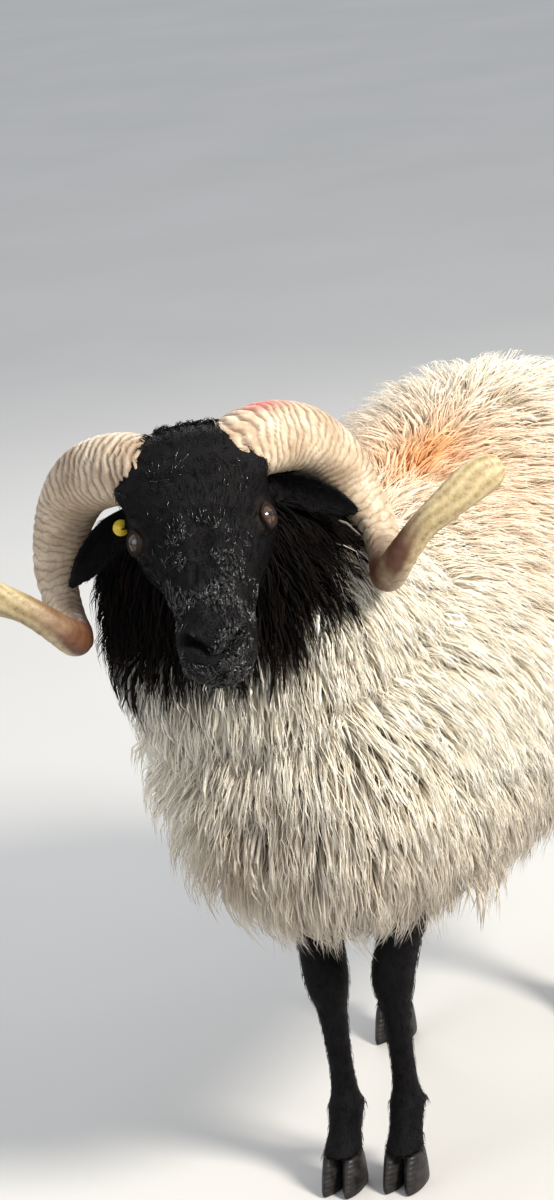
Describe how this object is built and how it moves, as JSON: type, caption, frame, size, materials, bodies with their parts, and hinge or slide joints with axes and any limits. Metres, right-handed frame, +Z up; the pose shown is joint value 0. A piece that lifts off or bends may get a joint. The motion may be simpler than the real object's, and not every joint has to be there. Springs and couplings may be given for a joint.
{
  "type": "blackface ram",
  "caption": "Standing long-woolled blackface hill ram with ridged spiral horns, a black face and legs and a worn button tag in its right ear.",
  "frame": {"origin": "on the floor, under the middle of the whole ram's box", "axes": "-Y the way the ram faces, +X its left side, +Z up"},
  "size_m": [0.5484, 1.1382, 0.9607],
  "materials": {
    "fleece": "long coarse cream-white wool with an orange dye mark on the shoulder and back",
    "ruff": "long black wool of the neck, greying into white over the chest",
    "face_hair": "short glossy black hair",
    "horn": "pale ridged horn, smoother and paler towards the tip",
    "claw": "dark worn hoof horn",
    "eye": "wet brown iris with a level pupil",
    "tag": "plain yellow moulded plastic, blank"
  },
  "bodies": {
    "root": {"torso": "fleece", "neck": "ruff", "head": "face_hair", "tail": "fleece", "ear_left": "face_hair", "ear_right": "face_hair", "eye_left": "eye", "eye_right": "eye", "horn_left": "horn", "horn_right": "horn", "ear_tag": "tag", "foreleg_left": "face_hair", "foreleg_right": "face_hair", "hindleg_left": "face_hair", "hindleg_right": "face_hair", "fore_claw_left_inner": "claw", "fore_claw_left_outer": "claw", "fore_claw_right_inner": "claw", "fore_claw_right_outer": "claw", "hind_claw_left_inner": "claw", "hind_claw_left_outer": "claw", "hind_claw_right_inner": "claw", "hind_claw_right_outer": "claw"}
  },
  "joints": []
}
